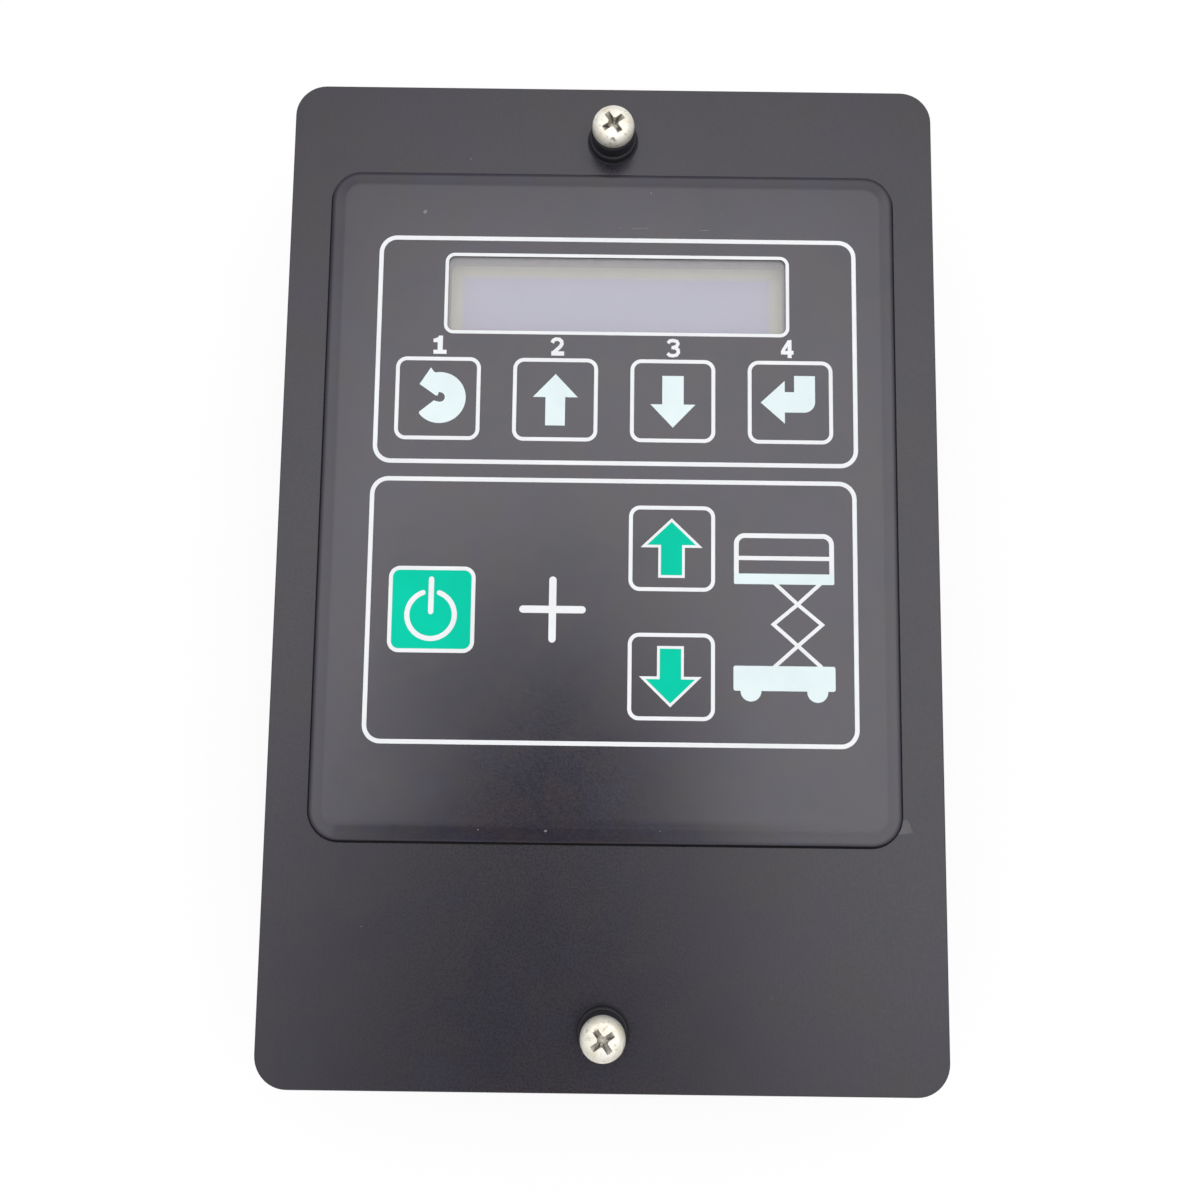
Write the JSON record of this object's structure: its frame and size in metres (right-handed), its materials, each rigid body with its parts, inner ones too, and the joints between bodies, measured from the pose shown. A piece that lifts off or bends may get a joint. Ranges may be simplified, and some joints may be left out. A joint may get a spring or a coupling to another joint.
{
  "type": "control box",
  "caption": "Flat panel-mounted control box for a scissor lift: black plate with membrane keys, character display window, captive screws and rear electronics housing.",
  "frame": {"origin": "middle of the front plate's back face, midway between the two captive screws", "axes": "+Z out of the keypad side, +Y toward the plate's top end, +X to the right as the keypad is read"},
  "size_m": [0.125, 0.1906, 0.0555],
  "materials": {
    "plate_black": "fine satin powder coat, dark charcoal",
    "overlay_film": "matt printed polyester film, charcoal",
    "key_green": "matt printed polyester film, green",
    "window_pane": "clear acrylic",
    "circuit_film": "clear polyester with printed silver tracks",
    "dome_steel": "thin sprung stainless steel",
    "screw_steel": "nickel-plated steel, slightly stained",
    "plain_steel": "zinc-plated steel",
    "collar_black": "black moulded nylon, slight gloss",
    "ring_nylon": "natural nylon",
    "lcd_metal": "black painted steel",
    "lcd_glass": "display glass, switched off, lavender grey",
    "gasket_foam": "light grey foam",
    "backlight": "white diffuser",
    "board_green": "solder resist over glass fibre board",
    "ribbon_grey": "flat grey ribbon",
    "socket_black": "black moulded nylon",
    "housing_black": "black glass-filled nylon, fine texture",
    "header_black": "black glass-filled thermoplastic",
    "gasket_rubber": "black silicone sponge",
    "seal_rubber": "orange silicone",
    "pin_tin": "gold-flashed brass",
    "chip_black": "black epoxy",
    "relay_blue": "blue relay cases",
    "capacitor_can": "sleeved aluminium cans"
  },
  "bodies": {
    "root": {"front_plate": "plate_black", "graphic_overlay": "overlay_film", "display_window": "window_pane", "membrane_circuit": "circuit_film", "dome_retainer": "circuit_film", "key_spacer": "circuit_film", "menu_dome": "dome_steel", "scroll_up_dome": "dome_steel", "scroll_down_dome": "dome_steel", "enter_dome": "dome_steel", "enable_dome": "dome_steel", "raise_dome": "dome_steel", "lower_dome": "dome_steel", "lcd_screws": "plain_steel", "lcd_standoffs": "plain_steel", "plate_standoffs": "plain_steel", "housing_screws": "plain_steel", "board_screws": "plain_steel", "upper_collar": "collar_black", "lower_collar": "collar_black", "lcd_frame": "lcd_metal", "lcd_glass": "lcd_glass", "display_gasket": "gasket_foam", "lcd_backlight": "backlight", "lcd_board": "board_green", "main_board": "board_green", "lcd_ribbon": "ribbon_grey", "ribbon_sockets": "socket_black", "keypad_socket": "socket_black", "rear_housing": "housing_black", "left_header": "header_black", "right_header": "header_black", "housing_gasket": "gasket_rubber", "header_seals": "seal_rubber", "left_header_pins": "pin_tin", "right_header_pins": "pin_tin", "processor": "chip_black", "driver_chips": "chip_black", "voltage_regulator": "chip_black", "chip_resistors": "chip_black", "relays": "relay_blue", "capacitors": "capacitor_can"},
    "menu_key": {"menu_key": "overlay_film"},
    "scroll_up_key": {"scroll_up_key": "overlay_film"},
    "scroll_down_key": {"scroll_down_key": "overlay_film"},
    "enter_key": {"enter_key": "overlay_film"},
    "enable_key": {"enable_key": "key_green"},
    "raise_key": {"raise_key": "overlay_film"},
    "lower_key": {"lower_key": "overlay_film"},
    "upper_captive_ring": {"upper_ring": "ring_nylon"},
    "upper_captive_screw": {"upper_screw": "screw_steel"},
    "lower_captive_ring": {"lower_ring": "ring_nylon"},
    "lower_captive_screw": {"lower_screw": "screw_steel"}
  },
  "joints": [
    {"name": "menu_press", "type": "slide", "parent": "root", "child": "menu_key", "axis": [0, 0, -1], "range_m": [0, 0.0004], "stiffness_N_per_m": 3000, "springref_m": -0.0001, "deforming": ["menu_dome"]},
    {"name": "scroll_up_press", "type": "slide", "parent": "root", "child": "scroll_up_key", "axis": [0, 0, -1], "range_m": [0, 0.0004], "stiffness_N_per_m": 3000, "springref_m": -0.0001, "deforming": ["scroll_up_dome"]},
    {"name": "scroll_down_press", "type": "slide", "parent": "root", "child": "scroll_down_key", "axis": [0, 0, -1], "range_m": [0, 0.0004], "stiffness_N_per_m": 3000, "springref_m": -0.0001, "deforming": ["scroll_down_dome"]},
    {"name": "enter_press", "type": "slide", "parent": "root", "child": "enter_key", "axis": [0, 0, -1], "range_m": [0, 0.0004], "stiffness_N_per_m": 3000, "springref_m": -0.0001, "deforming": ["enter_dome"]},
    {"name": "enable_press", "type": "slide", "parent": "root", "child": "enable_key", "axis": [0, 0, -1], "range_m": [0, 0.0004], "stiffness_N_per_m": 3000, "springref_m": -0.0001, "deforming": ["enable_dome"]},
    {"name": "raise_press", "type": "slide", "parent": "root", "child": "raise_key", "axis": [0, 0, -1], "range_m": [0, 0.0004], "stiffness_N_per_m": 3000, "springref_m": -0.0001, "deforming": ["raise_dome"]},
    {"name": "lower_press", "type": "slide", "parent": "root", "child": "lower_key", "axis": [0, 0, -1], "range_m": [0, 0.0004], "stiffness_N_per_m": 3000, "springref_m": -0.0001, "deforming": ["lower_dome"]},
    {"name": "upper_screw_lift", "type": "slide", "parent": "root", "child": "upper_captive_ring", "axis": [0, 0, 1], "range_m": [0, 0.0059]},
    {"name": "upper_screw_turn", "type": "hinge", "parent": "upper_captive_ring", "child": "upper_captive_screw", "pos_m": [0, 0.0843, 0], "axis": [0, 0, 1], "continuous": true},
    {"name": "lower_screw_lift", "type": "slide", "parent": "root", "child": "lower_captive_ring", "axis": [0, 0, 1], "range_m": [0, 0.0059]},
    {"name": "lower_screw_turn", "type": "hinge", "parent": "lower_captive_ring", "child": "lower_captive_screw", "pos_m": [0, -0.0843, 0], "axis": [0, 0, 1], "continuous": true}
  ]
}
